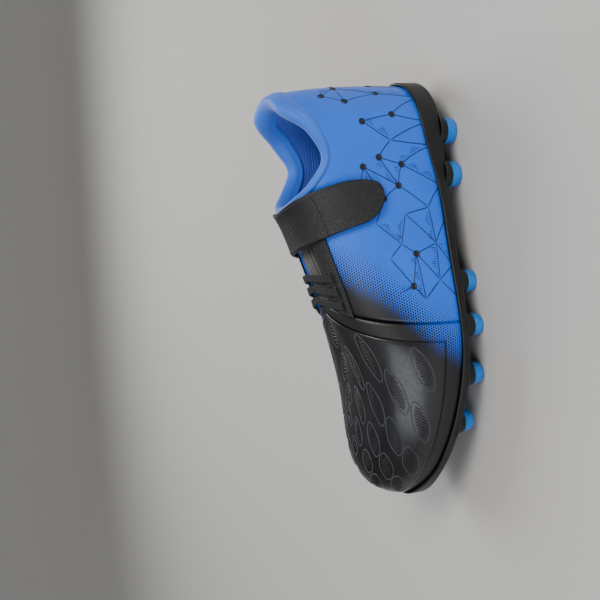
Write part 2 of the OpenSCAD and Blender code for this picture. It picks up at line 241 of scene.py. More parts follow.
def add_node(material, kind, inputs, output=0, **settings):
    """Adds a shader node: each input takes a value or another node's output. Returns an output."""
    node = material.node_tree.nodes.new(kind)
    for name, value in settings.items():
        setattr(node, name, value)
    for name, value in inputs.items():
        if isinstance(value, bpy.types.NodeSocket):
            material.node_tree.links.new(value, node.inputs[name])
        else:
            node.inputs[name].default_value = value
    return node.outputs[output]


def finish_material(surface):
    """A material named as its surface function, which gives the shader's inputs.

    The function gets place, in metres, where noise of Scale 500 / n has grains of n mm."""
    material = bpy.data.materials.new(surface.__name__)
    material.use_nodes = True
    shader = material.node_tree.nodes["Principled BSDF"]
    place = add_node(material, "ShaderNodeTexCoord", {}, "Object")
    for name, value in surface(material, place).items():
        if isinstance(value, bpy.types.NodeSocket):
            material.node_tree.links.new(value, shader.inputs[name])
        else:
            shader.inputs[name].default_value = value
    return material


def mottle(material, place, darker, lighter, size, detail=3.0):
    """Two sRGB colours, mixed by noise with grains of size mm."""
    noise = add_node(material, "ShaderNodeTexNoise", {"Scale": 500 / size, "Detail": detail, "Vector": place})
    return add_node(material, "ShaderNodeMix", {"Factor": noise, "A": srgb(darker), "B": srgb(lighter)},
                    "Result", data_type="RGBA")


def emboss(material, place, size, depth, detail=3.0, strength=1.0):
    """A surface roughened by noise with grains of size mm that stand depth mm proud."""
    noise = add_node(material, "ShaderNodeTexNoise", {"Scale": 500 / size, "Detail": detail, "Vector": place})
    return add_node(material, "ShaderNodeBump", {"Height": noise, "Distance": depth * MM,
                                                 "Strength": strength})


def moulded_black_tpu(material, place):
    # Injection-moulded polyurethane: spark-eroded mould grain, soft sheen, greyer where rubbed
    grain = add_node(material, "ShaderNodeTexNoise", {"Scale": 500 / 0.25, "Detail": 3.0, "Vector": place})
    cloud = add_node(material, "ShaderNodeTexNoise", {"Scale": 500 / 7.0, "Detail": 6.0, "Vector": place})
    rub = add_node(material, "ShaderNodeMapRange", {"Value": cloud, "From Min": 0.45, "From Max": 0.75})
    tone = add_node(material, "ShaderNodeMix", {"Factor": rub, "A": srgb("060607"), "B": srgb("141518")},
                    "Result", data_type="RGBA")
    dullness = add_node(material, "ShaderNodeMapRange", {"Value": rub, "To Min": 0.42, "To Max": 0.6})
    bump = add_node(material, "ShaderNodeBump", {"Height": grain, "Distance": 0.12 * MM,
                                                 "Strength": 0.6})
    return {"Base Color": tone, "Roughness": dullness, "IOR": 1.5, "Normal": bump}


black_tpu = finish_material(moulded_black_tpu)

forefoot_pairs = [0.84, 0.715, 0.59, 0.48]
heel_pairs = [0.215, 0.105]
stud_inset = 8.0
studs = []
for side in (1, -1):
    for zone, stations in (("forefoot", forefoot_pairs), ("heel", heel_pairs)):
        for number, s in enumerate(stations, 1):
            angle = math.degrees(math.acos(1 - 2 * s)) * side % 360
            x, y = edge(np.array(angle)) + (wall - stud_inset) * edge_normal(np.array(angle))
            lift = float(rise(s)) - plate_top
            end_d, end_h = (10.0, 5.0) if zone == "forefoot" else (12.0, 5.5)
            name = f"{zone}_{'lateral' if side > 0 else 'medial'}_stud_end_{number}"
            studs.append((name, x, y, lift, end_d, end_h))

around = np.arange(288) * 360 / 288
cup = (1.2 + 6.8 * (1 - ease((off_heel(around) - 30) / 42))
       + 4 * ease((off_heel(around) - 146) / 26))
plate_edge = wall + plate_lip


def sole_row(offset, height):
    ring = edge(around) + offset * edge_normal(around)
    return np.column_stack([ring, rise(station(around)) + height])


def sole_middle(height):
    r = ridge_heel + (ridge_toe - ridge_heel) * station(around)
    return np.column_stack([bend(r) - centre_x, heel_end - r * last_length, rise(r) + height])


def between(first, second, share):
    return first + (second - first) * share


# Underside: a bead just inside the edge, and low diagonal ribs that stiffen the waist
rows = []
for share in np.linspace(0, 1, 60):
    row = between(sole_middle(-plate_thick), sole_row(plate_edge - 1.2, -plate_thick), share)
    inside = (1 - share) * 30
    bead = 0.7 * np.exp(-((inside - 3.2) / 0.9) ** 2)
    waist = np.exp(-((row[:, 1] - 30) / 26) ** 4) * ease(inside / 8)
    ribs = 0.7 * waist * np.maximum(0, np.cos((row[:, 1] + 0.8 * np.abs(row[:, 0])) * math.pi / 3.4)) ** 0.7
    row[:, 2] -= bead + ribs
    rows.append(row)
for turn in np.radians(np.linspace(-75, 0, 6)):
    rows.append(sole_row(plate_edge - 1.2 + 1.2 * math.cos(turn), 1.2 - plate_thick + 1.2 * math.sin(turn)))
rows += [between(sole_row(plate_edge, 1.2 - plate_thick), sole_row(plate_edge, 0) + np.column_stack(
    [0 * around, 0 * around, cup - 0.6]), share) for share in np.linspace(0, 1, 10)[1:]]
lip_mid, lip_half = wall + (plate_lip + 0.2) / 2, (plate_lip - 0.2) / 2
for turn in np.radians(np.linspace(15, 180, 8)):
    rows.append(sole_row(lip_mid + lip_half * math.cos(turn), cup - 0.6 + 0.6 * math.sin(turn)))
rows += [sole_row(wall + 0.2, 0), sole_row(-1, 0), sole_middle(0)]
plate_points = np.concatenate(rows)
plate_faces = grid_faces(len(rows), len(around), ring=True)

# Stems: tapered, with a wide fillet where they leave the plate
turns = np.radians(np.arange(48) * 7.5)
for name, x, y, lift, end_d, end_h in studs:
    foot = plate_top - plate_thick + 1.0
    stem_radius = (end_d + 1.2) / 2
    profile = [(0.0, end_h - 0.05), (stem_radius - 0.5, end_h - 0.05), (stem_radius - 0.1, end_h + 0.2)]
    for share in np.linspace(0, 1, 12)[1:]:
        profile.append((stem_radius + 1.7 * share + 2.6 * share ** 6, end_h + (foot - end_h) * share))
    stem = np.array([[x + radius * math.cos(t), y + radius * math.sin(t), z + lift]
                     for radius, z in profile for t in turns])
    plate_faces += grid_faces(len(profile), len(turns), start=len(plate_points), ring=True)
    plate_points = np.concatenate([plate_points, stem])
plate = join_mesh("moulded_plate", plate_points, plate_faces, black_tpu)
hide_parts("outsole_plate")
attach(plate, "shoe")


# --- Stud ends --------------------------------------------------------------------------------
# Twelve blue polyurethane caps, moulded over a peg under each stem. Their rims are rounded and
# the ends lightly scuffed.
def moulded_blue_tpu(material, place):
    # Injection-moulded polyurethane: smooth, slightly translucent, dulled by fine scuffs
    tone = mottle(material, place, "0a6fd0", "1d8ae6", 3.0, detail=4.0)
    scratch = add_node(material, "ShaderNodeTexNoise", {"Scale": 500 / 0.6, "Detail": 5.0, "Vector": place})
    scuffs = add_node(material, "ShaderNodeMapRange", {"Value": scratch, "From Min": 0.4, "From Max": 0.7})
    dullness = add_node(material, "ShaderNodeMapRange", {"Value": scuffs, "To Min": 0.26, "To Max": 0.5})
    bump = add_node(material, "ShaderNodeBump", {"Height": scuffs, "Distance": 0.05 * MM,
                                                 "Strength": 0.5})
    return {"Base Color": tone, "Roughness": dullness, "IOR": 1.5, "Normal": bump,
            "Subsurface Weight": 0.15, "Subsurface Radius": (0.001, 0.002, 0.004)}


blue_tpu = finish_material(moulded_blue_tpu)
for name, x, y, lift, end_d, end_h in studs:
    bottom, top = end_d / 2, (end_d + 1.2) / 2
    profile = [(0.0, 0.25), (bottom * 0.55, 0.25), (bottom * 0.62, 0.0)]
    profile += [(bottom - 1.1 + 1.1 * math.sin(t), 1.1 - 1.1 * math.cos(t))
                for t in np.radians(np.linspace(0, 84, 7))]
    profile += [(between(bottom, top, z / end_h), z) for z in np.linspace(1.5, end_h - 0.6, 5)]
    profile += [(top - 0.5 + 0.5 * math.cos(t), end_h - 0.5 + 0.5 * math.sin(t))
                for t in np.radians(np.linspace(10, 90, 5))]
    profile += [(0.0, end_h)]
    cap = np.array([[x + radius * math.cos(t), y + radius * math.sin(t), z + lift]
                    for radius, z in profile for t in turns])
    cap_end = join_mesh("cap_" + name, cap, grid_faces(len(profile), len(turns), ring=True), blue_tpu)
    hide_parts(name)
    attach(cap_end, "shoe")


# --- Footbed, insole board and stiffeners -------------------------------------------------------
# The board is cemented over the lasting margin inside the plate, and the die-cut foam footbed
# lies on it, with a raised rim at the heel. Counter and toe puff are bonded inside the upper.
def pressed_fibre_board(material, place):
    # Pressed cellulose fibre: matt, off-white, with a mottle of short fibres
    tone = mottle(material, place, "cbc7ba", "dedbd0", 0.8, detail=6.0)
    bump = emboss(material, place, 0.4, 0.08)
    return {"Base Color": tone, "Roughness": 0.9, "Normal": bump}


def thermoformed_sheet(material, place):
    # Thermoformed polyester stiffener: grey-white, dull, with pressed felt on its faces
    tone = mottle(material, place, "b9bcc2", "cdd0d4", 1.2, detail=5.0)
    bump = emboss(material, place, 0.5, 0.06)
    return {"Base Color": tone, "Roughness": 0.75, "Normal": bump}


def brushed_tricot(material, place):
    # Brushed tricot over foam: royal blue, fine wales 0.8 mm apart and a soft nap
    wales = add_node(material, "ShaderNodeTexWave", {"Scale": 314 / 0.8, "Distortion": 0.6,
                                                     "Vector": place}, "Fac")
    tone = add_node(material, "ShaderNodeMix", {"Factor": wales, "A": srgb("102c80"), "B": srgb("1a419f")},
                    "Result", data_type="RGBA")
    bump = add_node(material, "ShaderNodeBump", {"Height": wales, "Distance": 0.1 * MM})
    return {"Base Color": tone, "Roughness": 0.85, "Sheen Weight": 0.4, "Normal": bump}


def set_material(node, material):
    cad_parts[node].data.materials.clear()
    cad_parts[node].data.materials.append(material)


set_material("insole_board", finish_material(pressed_fibre_board))
stiffener = finish_material(thermoformed_sheet)
set_material("heel_counter", stiffener)
set_material("toe_puff", stiffener)

footbed_base, footbed_thick = 2.0, 4.0
heel_rim = 4 * (1 - ease((off_heel(around) - 40) / 60))
tall = np.column_stack([0 * around, 0 * around, heel_rim])
top = footbed_base + footbed_thick
rows = [between(sole_middle(footbed_base), sole_row(-2.6, footbed_base), share)
        for share in np.linspace(0, 1, 16)]
rows += [sole_row(-1.7, footbed_base + 0.9), sole_row(-1.6, footbed_base + 2)]
rows += [sole_row(-1.6, top) + tall * 0.7, sole_row(-1.9, top) + tall * 0.95,
         sole_row(-2.6, top) + tall, sole_row(-3.3, top) + tall * 0.95]
rows += [sole_row(-4.1 - 7 * share, top) + tall * (1 - ease(share)) * 0.9
         for share in np.linspace(0, 1, 9)]
rows += [between(sole_row(-11.1, top), sole_middle(top), share) for share in np.linspace(0, 1, 24)[1:]]
footbed = join_mesh("die_cut_footbed", np.concatenate(rows), grid_faces(len(rows), len(around), ring=True),
                    finish_material(brushed_tricot))
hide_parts("sockliner")
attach(footbed, "shoe")


# --- Linings ------------------------------------------------------------------------------------
# A ribbed royal blue knit lines the heel and collar, and a plain one the forefoot. They are sewn
# to the outer round the collar and turned under at the sole.
def gap_to_edge(points):
    """Distance of each grid point from the nearest border of the grid, along the grid."""
    def run(p, axis):
        steps = np.linalg.norm(np.diff(p, axis=axis), axis=-1)
        there = np.cumsum(steps, axis=axis)
        pad = [(1, 0) if i == axis else (0, 0) for i in (0, 1)]
        there = np.pad(there, pad)
        return there, there.take([-1], axis=axis) - there
    down, up = run(points, 0)
    left, right = run(points, 1)
    return np.minimum(np.minimum(down, up), np.minimum(left, right)), left, down


def layer(name, angles, girths, inner, outer, material, roll=0.8, figure=0.0, figure_in=0.0,
          fade=None, fresh=None):
    """One sewn layer of the upper with rolled edges, over grids of ring angle and girth.

    figure stands proud of the outside, figure_in of the inside. Its UV is in millimetres."""
    middle = boot(angles, girths, (np.asarray(inner) + outer) / 2)
    gap, along, across = gap_to_edge(middle)
    swell = np.sqrt(np.maximum(0, 1 - (1 - np.minimum(gap / roll, 1)) ** 2))
    centre = (np.asarray(inner) + outer) / 2
    half = (np.asarray(outer) - inner) / 2
    outside = boot(angles, girths, centre + (half + figure) * swell)
    inside = boot(angles, girths, centre - (half + figure_in) * swell)
    rows, cols = gap.shape
    points = np.concatenate([outside.reshape(-1, 3), inside.reshape(-1, 3)])
    faces = grid_faces(rows, cols) + grid_faces(rows, cols, start=rows * cols, flip=True)
    flow = np.stack([heel_end - middle[..., 1] if fresh is None else along, across], -1)
    flow = np.concatenate([flow.reshape(-1, 2)] * 2)
    if fade is not None:
        fade = np.concatenate([fade.ravel()] * 2).astype(np.float32)
    return join_mesh(name, points, faces, material, flow, fade)


def ribbed_knit(material, place):
    # Warp-knit polyester with raised ribs: soft sheen, with painted shade darkening the grooves between ribs
    flow = add_node(material, "ShaderNodeTexCoord", {}, "UV")
    courses_and_groove_shade = add_node(material, "ShaderNodeTexWave", {"Scale": 0.314 / 0.7, "Distortion": 1.0,
                                                       "Vector": flow}, "Fac", bands_direction="Y")
    # Painted shade: the rib wave that drives the bump also darkens the tone in the grooves between ribs
    tone = add_node(material, "ShaderNodeMix", {"Factor": courses_and_groove_shade, "A": srgb("1c48b0"), "B": srgb("3a68d6")},
                    "Result", data_type="RGBA")
    bump = add_node(material, "ShaderNodeBump", {"Height": courses_and_groove_shade, "Distance": 0.12 * MM})
    return {"Base Color": tone, "Roughness": 0.8, "Sheen Weight": 0.5, "Normal": bump}


knit = finish_material(ribbed_knit)
rib_pitch = 1.6
lining_reach = throat + 4
columns = np.tile(np.linspace(-lining_reach, lining_reach, 140), (230, 1))
lining_top = collar_girth(columns) - np.where(off_heel(columns) > throat - 6, 0.05, 0.0) - 0.02
heights = np.linspace(0, 1, 230)[:, None] * lining_top
climb = np.linalg.norm(np.diff(boot(columns, heights, 0.4), axis=0), axis=-1).cumsum(axis=0)
ribs = 0.32 * np.abs(np.sin(math.pi * np.pad(climb, ((1, 0), (0, 0))) / rib_pitch))
lining = layer("ribbed_collar_lining", columns, heights, 0.05, 0.8, knit, figure_in=ribs - 0.1)
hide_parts("collar_lining")
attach(lining, "shoe")

front_angles = np.linspace(lining_reach + 0.35, 180, 120)
front_girths = np.linspace(0, 2, 110)[:, None]
front_lining = layer("forefoot_lining", np.tile(front_angles, (110, 1)), np.tile(front_girths, (1, 120)),
                     0.05, 0.75, knit, roll=0.4)
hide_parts("vamp_lining")
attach(front_lining, "shoe")


# --- Quarters and vamp ----------------------------------------------------------------------------
# Coated microfibre, blue at the heel. A lattice of printed dots grows towards the toe until the
# blue is gone. Fine raised navy lines join punched dots, and short ticks run along some of them.
def blue_left(angle, girth):
    """0 where the upper is plain blue, 1 where the printed dots have closed to black."""
    start = np.interp(girth, [0, 0.15, 0.4, 0.75, 1, 1.3, 1.6, 2],
                      [106, 98, 76, 58, 62, 96, 130, 156])
    here = heel_end + wall - boot(angle, girth, wall)[..., 1]
    return np.clip((here - start) / 46, 0, 1)


def dot_screen(material, place):
    """Blue under a black dot screen, whose dots grow with the fade attribute."""
    pitch, row_ratio = 1.3, 1.732
    flow = add_node(material, "ShaderNodeTexCoord", {}, "UV")
    reach = []
    for shift in (0.0, 0.5):
        cell = add_node(material, "ShaderNodeVectorMath", {
            0: flow, 1: (1 / pitch, 1 / (pitch * row_ratio), 0), 2: (shift, shift, 0)},
            operation="MULTIPLY_ADD")
        wrap = add_node(material, "ShaderNodeVectorMath", {0: cell}, operation="FRACTION")
        centred = add_node(material, "ShaderNodeVectorMath", {
            0: wrap, 1: (pitch, pitch * row_ratio, 0), 2: (-pitch / 2, -pitch * row_ratio / 2, 0)},
            operation="MULTIPLY_ADD")
        reach.append(add_node(material, "ShaderNodeVectorMath", {0: centred}, "Value", operation="LENGTH"))
    nearest = add_node(material, "ShaderNodeMath", {0: reach[0], 1: reach[1]}, operation="MINIMUM")
    fade = add_node(material, "ShaderNodeAttribute", {}, "Fac", attribute_name="fade")
    dot = add_node(material, "ShaderNodeMapRange", {"Value": fade, "To Max": 0.88})
    depth = add_node(material, "ShaderNodeMath", {0: dot, 1: nearest}, operation="SUBTRACT")
    inked = add_node(material, "ShaderNodeMapRange", {"Value": depth, "From Min": -0.05, "From Max": 0.05})
    cloth = mottle(material, place, "0862e2", "1070f4", 9.0)
    return add_node(material, "ShaderNodeMix", {"Factor": inked, "A": cloth, "B": srgb("07080b")},
                    "Result", data_type="RGBA")


def coated_microfibre(material, place):
    # Polyurethane-coated microfibre: satin, fine pebbled grain, printed with a dot screen
    grain = add_node(material, "ShaderNodeTexNoise", {"Scale": 500 / 0.35, "Detail": 3.0, "Vector": place})
    dullness = add_node(material, "ShaderNodeMapRange", {"Value": grain, "From Min": 0.3, "From Max": 0.7,
                                                         "To Min": 0.36, "To Max": 0.5})
    bump = add_node(material, "ShaderNodeBump", {"Height": grain, "Distance": 0.06 * MM,
                                                 "Strength": 0.7})
    return {"Base Color": dot_screen(material, place), "Roughness": dullness, "Normal": bump,
            "Coat Weight": 0.15, "Coat Roughness": 0.3}


microfibre = finish_material(coated_microfibre)
front_seam = 99.0
throat_slot = 0.2
share = np.linspace(0, 1, 64)[:, None]
for side, name in ((1, "lateral_quarter"), (-1, "medial_quarter")):
    angles = np.concatenate([np.linspace(0.02, throat + 4, 110), np.linspace(throat + 5,
                                                                             front_seam + 0.14, 48)])
    under_rim = collar_girth(angles) - np.interp(angles, [0, 20, 45, throat], [0.022, 0.02, 0.01, 0.008])
    top = np.minimum(under_rim, 1 - throat_slot)
    girths = share * top
    fade = blue_left(angles, girths if side > 0 else 2 - girths)
    swell_out = padding(angles[None, :], girths)
    quarter = layer(name + "_panel", side * np.tile(angles, (64, 1)), girths, 3.6 + swell_out,
                    wall + swell_out, microfibre, roll=0.15, fade=fade)
    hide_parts(name)
    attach(quarter, "shoe")

angles = np.linspace(front_seam + 0.15, 180, 110)
girths = np.tile(np.linspace(0, 2, 170)[:, None], (1, 110))
fade = blue_left(angles[None, :], girths)
vamp = layer("vamp_panel", np.tile(angles, (170, 1)), girths, 3.6, wall, microfibre, roll=0.15, fade=fade)
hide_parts("vamp")
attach(vamp, "shoe")


def outward(angle, girth, offset=0.0, place=boot):
    """Unit normal of the boot's surface at a ring angle and girth."""
    by_angle = place(angle + 0.4, girth, offset) - place(angle - 0.4, girth, offset)
    by_girth = place(angle, girth + 0.004, offset) - place(angle, girth - 0.004, offset)
    normal = np.cross(by_angle, by_girth)
    normal /= np.maximum(np.linalg.norm(normal, axis=-1, keepdims=True), 1e-9)
    away = place(angle, girth, offset + 1) - place(angle, girth, offset)
    return normal * np.sign((normal * away).sum(-1, keepdims=True))


def raised(paths, width, height, base, blunt=0.25, place=boot):
    """Points and faces of closed raised strips along paths of (angle, girth) points."""
    profile = np.radians([0, 45, 90, 135, 180, 225, 315])
    lifts = np.where(np.sin(profile) > 0, np.sin(profile), 0.4 * np.sin(profile))
    points, faces, count = [], [], 0
    for path in paths:
        angle, girth = np.asarray(path, float).T
        centre = place(angle, girth, base)
        normal = outward(angle, girth, base, place)
        ahead = np.gradient(centre, axis=0)
        ahead /= np.maximum(np.linalg.norm(ahead, axis=1, keepdims=True), 1e-9)
        across = np.cross(ahead, normal)
        thin = np.ones(len(path))
        thin[[0, -1]] = blunt
        ring = (centre[:, None] + across[:, None] * (np.cos(profile) * width / 2)[None, :, None]
                * thin[:, None, None]
                + normal[:, None] * (lifts * height)[None, :, None] * thin[:, None, None])
        points.append(ring.reshape(-1, 3))
        faces += grid_faces(len(path), len(profile), start=count, ring=True)
        first, last_one = count, count + (len(path) - 1) * len(profile)
        faces += [tuple(range(first, first + len(profile)))[::-1],
                  tuple(range(last_one, last_one + len(profile)))]
        count += ring.shape[0] * ring.shape[1]
    return np.concatenate(points), faces


def evenly(path, pitch, base=0.0, place=boot):
    """The path's (angle, girth) points about pitch mm apart."""
    path = np.asarray(path, float)
    fine = np.linspace(0, len(path) - 1, 40 * len(path))
    dense = np.column_stack([np.interp(fine, np.arange(len(path)), path[:, i]) for i in (0, 1)])
    run = np.concatenate([[0], np.cumsum(np.linalg.norm(np.diff(
        place(dense[:, 0], dense[:, 1], base), axis=0), axis=1))])
    stops = np.linspace(0, run[-1], max(3, int(run[-1] / pitch) + 1))
    return np.column_stack([np.interp(stops, run, dense[:, i]) for i in (0, 1)])


def screen_ink(material, place):
    # Screen-printed polyurethane ink: deep navy, slightly glossy, standing 0.1 mm proud
    tone = mottle(material, place, "060c22", "0c1638", 2.0)
    return {"Base Color": tone, "Roughness": 0.4}


ink = finish_material(screen_ink)


def sidestep(path, reach):
    """The path's points moved reach mm sideways over the surface."""
    angle, girth = path.T
    by_angle = boot(angle + 0.5, girth, wall) - boot(angle - 0.5, girth, wall)
    by_girth = (boot(angle, girth + 0.005, wall) - boot(angle, girth - 0.005, wall)) / 0.01
    across = np.cross(np.gradient(boot(angle, girth, wall), axis=0), outward(angle, girth, wall))
    across /= np.linalg.norm(across, axis=1, keepdims=True)
    steps = [np.linalg.lstsq(np.column_stack([a, g]), d * reach, rcond=None)[0]
             for a, g, d in zip(by_angle, by_girth, across)]
    return path + np.array(steps)


# The web: knots in five staggered rows, shifted at random, joined to the next row and sideways
web_rows, web_columns, column_step, row_step = 5, 9, 11.4, 0.078
draw = np.random.default_rng(5)
knots = {}
for row in range(web_rows):
    for column in range(web_columns):
        angle = 2 + column_step * (column + row % 2 / 2) + draw.uniform(-2.4, 2.4)
        girth = row_step * row + draw.uniform(-0.018, 0.018) * (row > 0)
        if angle < 97 and girth < collar_girth(angle) - 0.13:
            knots[row, column] = (max(0.8, angle), girth)
web_lines = []
for (row, column), knot in knots.items():
    sideways = column + (1 if row % 2 else -1)
    for ahead, chance in (((row + 1, column), 0.85), ((row + 1, sideways), 0.85),
                          ((row, column + 1), 0.4 if row else 0)):
        if ahead in knots and draw.random() < chance:
            web_lines.append([knot, knots[ahead]])
dotted = [knot for (row, column), knot in knots.items() if row in (1, 2, 3) and draw.random() < 0.62]


def on_quarter(angle, girth, offset):
    """A point of the quarters, over the collar's padding."""
    return boot(angle, girth, offset + padding(angle, girth))


for side in (1, -1):
    strips = [evenly(line, 1.6, wall) for line in web_lines]
    if side < 0:
        strips = [np.column_stack([s[:, 0] * 0.96 + 1.5, s[:, 1] * 0.94]) for s in strips]
    ticks = []
    for number in range(0, len(strips), 3):
        here = evenly(strips[number], 1.1, wall)[2:-2]
        near, far = sidestep(here, 0.7), sidestep(here, 1.0)
        for index in range(len(here)):
            reach = 2.4 + 1.3 * math.sin(index * 0.9 + number)
            ticks.append(np.linspace(near[index], here[index] + (far[index] - here[index]) * reach, 4))
    for kind, paths, width in (("web", strips, 0.5), ("tick", ticks, 0.36)):
        tuned = [np.column_stack([side * p[:, 0], np.clip(p[:, 1], 0.004, 0.78)]) for p in paths]
        points, faces = raised(tuned, width, 0.14, wall - 0.02, place=on_quarter)
        lines = join_mesh(f"{'outer' if side > 0 else 'inner'}_{kind}_lines", points, faces, ink)
        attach(lines, "shoe")


def punched_dot(material, place):
    # Punched and sealed dot: dark grey foil centre, satin
    tone = mottle(material, place, "0c0e14", "2a2e36", 0.5)
    return {"Base Color": tone, "Roughness": 0.35, "Metallic": 0.3}


dot_finish = finish_material(punched_dot)
for side in (1, -1):
    points, faces, count = [], [], 0
    for angle, girth in dotted:
        if side < 0:
            angle, girth = angle * 0.96 + 1.5, girth * 0.94
        angle = np.array([side * float(angle)])
        girth = np.array([max(girth, 0.03)])
        centre = boot(angle, girth, wall + padding(angle, girth))[0]
        normal = outward(angle, girth, wall)[0]
        level = np.cross(normal, [0, 0, 1.0])
        level /= np.linalg.norm(level)
        upright = np.cross(level, normal)
        spins = np.radians(np.arange(20) * 18)
        profile = [(0.0, 0.02), (0.75, 0.05), (0.95, 0.12), (1.15, 0.3), (1.4, 0.34), (1.6, 0.2), (1.7, -0.3)]
        dot = np.array([centre + (level * math.cos(t) + upright * math.sin(t)) * r + normal * h
                        for r, h in profile for t in spins])
        faces += grid_faces(len(profile), 20, start=count, ring=True)
        points.append(dot)
        count += len(dot)
    dots = join_mesh("outer_dots" if side > 0 else "inner_dots", np.concatenate(points), faces, dot_finish)
    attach(dots, "shoe")


# --- Toe overlay ----------------------------------------------------------------------------------
# A clear gloss film fused over the printed toe for wear, moulded with staggered leaf-shaped pods.
# Each pod has a raised outline and is filled with fine slanting ribs that grip the ball.
def fused_film(material, place):
    # Hot-fused clear polyurethane film over the same print: smooth gloss, faint orange-peel
    peel = add_node(material, "ShaderNodeTexNoise", {"Scale": 500 / 0.9, "Detail": 2.0, "Vector": place})
    dullness = add_node(material, "ShaderNodeMapRange", {"Value": peel, "From Min": 0.3, "From Max": 0.7,
                                                         "To Min": 0.28, "To Max": 0.42})
    bump = add_node(material, "ShaderNodeBump", {"Height": peel, "Distance": 0.05 * MM,
                                                 "Strength": 0.5})
    return {"Base Color": dot_screen(material, place), "Roughness": dullness, "Normal": bump,
            "Coat Weight": 0.3, "Coat Roughness": 0.2}


def black_film(material, place):
    # The ribs inside the pods: the same film, pigmented black
    tone = mottle(material, place, "07080b", "101116", 3.0)
    return {"Base Color": tone, "Roughness": 0.35}


def rubbed_ridge(material, place):
    # The same film where it stands proud: greyer and duller from rubbing
    tone = mottle(material, place, "2a2c31", "484b52", 3.0, detail=5.0)
    return {"Base Color": tone, "Roughness": 0.45}


film = finish_material(fused_film)
ridge_finish = finish_material(rubbed_ridge)
film_low, film_high = wall + 0.2, wall + 0.7
angles = np.tile(np.linspace(104, 180, 100), (170, 1))
girths = np.tile(np.linspace(0.1, 1.9, 170)[:, None], (1, 100))
overlay = layer("toe_film", angles, girths, film_low, film_high, film, roll=0.5,
                fade=blue_left(angles, girths))
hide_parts("toe_overlay")
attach(overlay, "shoe")

pod_long, pod_wide, rib_gap = 23.0, 8.4, 1.6


def pod(angle, girth):
    """Outline and rib paths of one pod round a ring angle and girth."""
    a, g = np.array([angle]), np.array([girth])
    per_angle = np.linalg.norm(boot(a + 1, g, wall) - boot(a - 1, g, wall)) / 2
    per_girth = np.linalg.norm(boot(a, g + 0.02, wall) - boot(a, g - 0.02, wall)) / 0.04
    lean = -0.3 if girth < 1 else 0.3
    long, wide = min(pod_long, 15.4 * per_angle), min(pod_wide, 0.168 * per_girth)

    def lay(x, y):
        path = np.column_stack([angle + x / per_angle, girth + (y + lean * x) / per_girth])
        return np.column_stack([np.clip(path[:, 0], 104.8, 181), np.clip(path[:, 1], 0.115, 1.885)])
    ring = np.array([(-0.52, 0.12), (-0.24, 0.5), (0.2, 0.5), (0.52, -0.12), (0.24, -0.5), (-0.2, -0.5)])
    for _ in range(2):
        ahead = np.roll(ring, -1, 0)
        ring = np.stack([ring * 0.78 + ahead * 0.22, ring * 0.22 + ahead * 0.78], 1).reshape(-1, 2)
    ring = np.concatenate([ring, ring[:1]]) * [long, wide]
    outline = lay(ring[:, 0], ring[:, 1])
    ribs = []
    for x in np.arange(-long / 2 + 2.5, long / 2 - 2, rib_gap):
        half = wide / 2 * (1 - (abs(x) / (long / 2)) ** 1.7) - 0.9
        if half > 0.8:
            y = np.linspace(-half, half, 7)
            ribs.append(lay(x - 0.5 * y, y))
    return outline, ribs


outlines, fillings = [], []
for row, girth in enumerate(np.linspace(0.24, 1.76, 9)):
    for column in range(5):
        angle = 112 + 17 * column + (8.5 if row % 2 else 0)
        if angle < 174:
            outline, ribs = pod(angle, girth)
            outlines.append(outline)
            fillings += ribs
points, faces = raised(outlines, 0.6, 0.4, film_high - 0.03, blunt=1.0)
pods = join_mesh("pod_outlines", points, faces, ridge_finish)
points, faces = raised(fillings, 0.8, 0.26, film_high - 0.03)
pod_ribs = join_mesh("pod_ribs", points, faces, finish_material(black_film))
for piece in (pods, pod_ribs):
    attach(piece, "shoe")


# --- Instep panel, eyestays and laces -------------------------------------------------------------
# A black stretch panel is sewn in under the quarters. Stitched black eyestays edge the opening,
# and three flat elastic laces cross it, sewn down at both ends.
def stretch_knit(material, place):
    # Circular-knit elastane blend: matt black, 0.9 mm wales, slight sheen at grazing angles
    flow = add_node(material, "ShaderNodeTexCoord", {}, "UV")
    wales = add_node(material, "ShaderNodeTexWave", {"Scale": 0.314 / 0.9, "Distortion": 0.5,
                                                     "Vector": flow}, "Fac", bands_direction="Y")
    loops = add_node(material, "ShaderNodeTexWave", {"Scale": 0.314 / 0.7, "Vector": flow}, "Fac")
    both = add_node(material, "ShaderNodeMath", {0: wales, 1: loops}, operation="MULTIPLY")
    tone = add_node(material, "ShaderNodeMix", {"Factor": both, "A": srgb("050607"), "B": srgb("1a1b1f")},
                    "Result", data_type="RGBA")
    bump = add_node(material, "ShaderNodeBump", {"Height": both, "Distance": 0.2 * MM})
    return {"Base Color": tone, "Roughness": 0.85, "Sheen Weight": 0.3, "Normal": bump}


def grained_synthetic(material, place):
    # Polyurethane leather, embossed with a calf grain of about 1 mm: black, soft satin
    cells = add_node(material, "ShaderNodeTexVoronoi", {"Scale": 900.0, "Vector": place},
                     "Distance", feature="DISTANCE_TO_EDGE")
    crease = add_node(material, "ShaderNodeMapRange", {"Value": cells, "From Min": 0.0, "From Max": 0.12})
    tone = mottle(material, place, "0a0b0d", "191a1d", 5.0, detail=5.0)
    dullness = add_node(material, "ShaderNodeMapRange", {"Value": crease, "To Min": 0.6, "To Max": 0.4})
    bump = add_node(material, "ShaderNodeBump", {"Height": crease, "Distance": 0.1 * MM,
                                                 "Strength": 0.6})
    return {"Base Color": tone, "Roughness": dullness, "Normal": bump}


def bonded_thread(material, place):
    # Bonded nylon thread: black, twisted, with a dull shine
    tone = mottle(material, place, "1d1f24", "34373e", 0.3)
    return {"Base Color": tone, "Roughness": 0.5}


